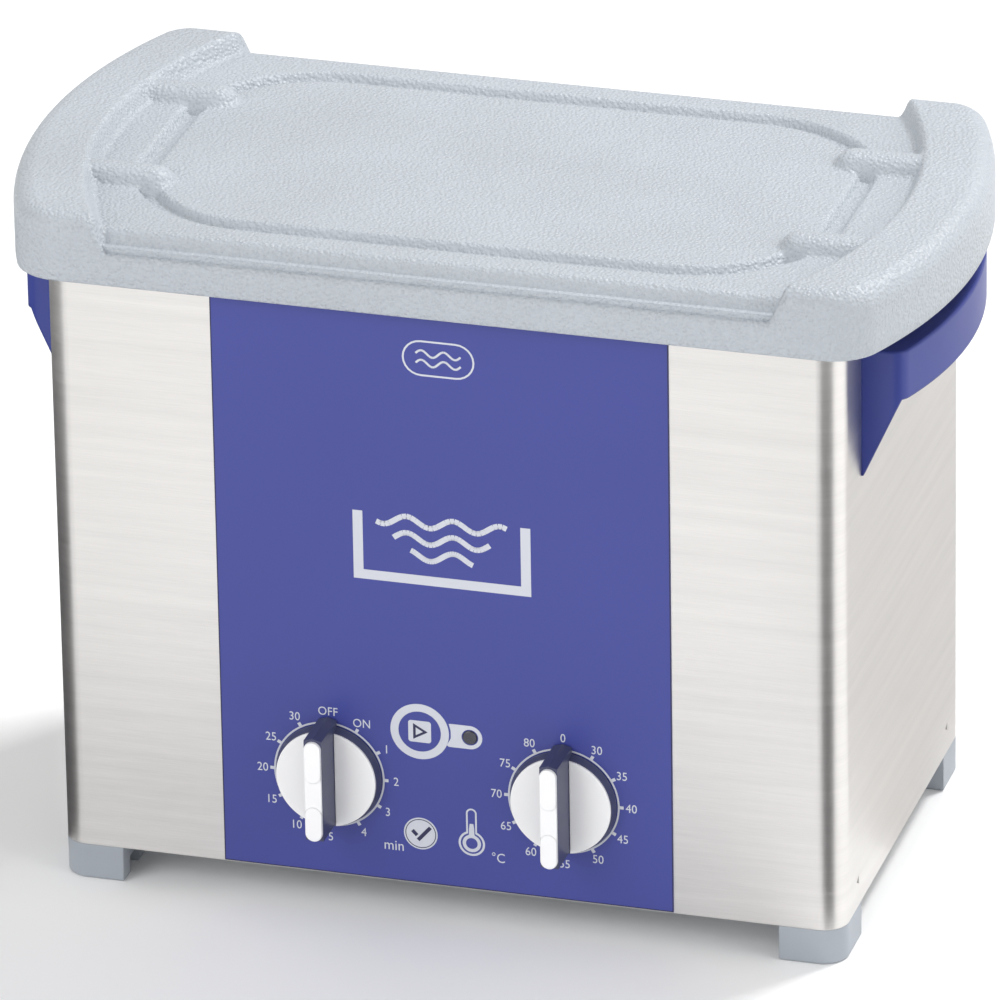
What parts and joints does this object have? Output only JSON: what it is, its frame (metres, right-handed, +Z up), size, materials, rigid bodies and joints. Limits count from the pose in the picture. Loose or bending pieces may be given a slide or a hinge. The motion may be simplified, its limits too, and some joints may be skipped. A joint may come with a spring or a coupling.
{
  "type": "ultrasonic cleaner",
  "caption": "Bench-top ultrasonic cleaner: heated stainless tank in a brushed housing, loose bowed lid, blue end handles, timer and temperature dials.",
  "frame": {"origin": "centre of the whole outline seen from above, on the surface it stands on", "axes": "+Z up, +X to the right of someone facing the dials, -Y out of the front panel"},
  "size_m": [0.303, 0.1724, 0.2298],
  "materials": {
    "brushed_stainless": "horizontal brushed grain, satin",
    "tank_stainless": "deep-drawn stainless, fine satin",
    "zinc_sheet": "plain zinc-plated sheet",
    "screw_steel": "zinc-plated fasteners",
    "foot_plastic": "light blue-grey, moulded",
    "handle_plastic": "deep blue, satin gloss",
    "panel_film": "violet-blue printed film",
    "plate_film": "blank silver plate",
    "lid_plastic": "light grey with a pebble grain",
    "lamp_lens": "smoked lens, unlit",
    "knob_dark": "dark blue-grey, fine satin",
    "knob_silver": "silver-white lacquer",
    "knob_white": "white inlay",
    "shaft_steel": "turned steel",
    "unit_plastic": "black phenolic case",
    "bulb_copper": "copper capillary bulb",
    "horn_aluminium": "turned aluminium",
    "ceramic": "fired piezo ceramic",
    "tab_brass": "thin brass",
    "mass_steel": "turned steel",
    "heater_silicone": "orange-red silicone pad",
    "board_laminate": "green solder-masked laminate",
    "sink_aluminium": "extruded fins",
    "black_epoxy": "moulded epoxy",
    "ferrite": "ferrite core and wound bobbin",
    "capacitor_sleeve": "dark blue sleeve",
    "inlet_plastic": "black socket",
    "wire_insulation": "insulated leads"
  },
  "bodies": {
    "cleaner": {"housing": "brushed_stainless", "tank": "tank_stainless", "base_tray": "zinc_sheet", "foot_front_left": "foot_plastic", "foot_front_right": "foot_plastic", "foot_rear_left": "foot_plastic", "foot_rear_right": "foot_plastic", "foot_screws": "screw_steel", "foot_nuts": "screw_steel", "handle_left": "handle_plastic", "handle_right": "handle_plastic", "handle_screws": "screw_steel", "panel_foil": "panel_film", "rating_plate": "plate_film", "indicator_lamp": "lamp_lens", "timer_unit": "unit_plastic", "thermostat_unit": "unit_plastic", "control_screws": "screw_steel", "thermostat_bulb": "bulb_copper", "transducer_horn_left": "horn_aluminium", "transducer_horn_right": "horn_aluminium", "ceramic_rings_left": "ceramic", "ceramic_rings_right": "ceramic", "electrode_tabs_left": "tab_brass", "electrode_tabs_right": "tab_brass", "back_mass_left": "mass_steel", "back_mass_right": "mass_steel", "transducer_bolts": "screw_steel", "heater_pad_front": "heater_silicone", "heater_pad_rear": "heater_silicone", "generator_board": "board_laminate", "board_standoffs": "screw_steel", "board_screws": "screw_steel", "heat_sink": "sink_aluminium", "power_transistors": "black_epoxy", "output_transformer": "ferrite", "filter_capacitors": "capacitor_sleeve", "mains_inlet": "inlet_plastic", "inlet_blades": "tab_brass", "inlet_screws": "screw_steel", "inlet_nuts": "screw_steel", "earth_stud": "screw_steel", "earth_nut": "screw_steel", "wiring": "wire_insulation"},
    "lid": {"lid": "lid_plastic"},
    "timer_dial": {"timer_knob": "knob_dark", "timer_knob_cheeks": "knob_silver", "timer_knob_strip": "knob_white", "timer_shaft": "shaft_steel"},
    "thermostat_dial": {"thermostat_knob": "knob_dark", "thermostat_knob_cheeks": "knob_silver", "thermostat_knob_strip": "knob_white", "thermostat_shaft": "shaft_steel"}
  },
  "joints": [
    {"name": "lid_lift", "type": "slide", "parent": "cleaner", "child": "lid", "axis": [0, 0, 1], "range_m": [0, 0.06]},
    {"name": "timer_turn", "type": "hinge", "parent": "cleaner", "child": "timer_dial", "pos_m": [-0.0381, -0.06825, 0.0467], "axis": [0, 1, 0], "range_deg": [0, 330]},
    {"name": "thermostat_turn", "type": "hinge", "parent": "cleaner", "child": "thermostat_dial", "pos_m": [0.0381, -0.06825, 0.0467], "axis": [0, 1, 0], "range_deg": [0, 330]}
  ]
}
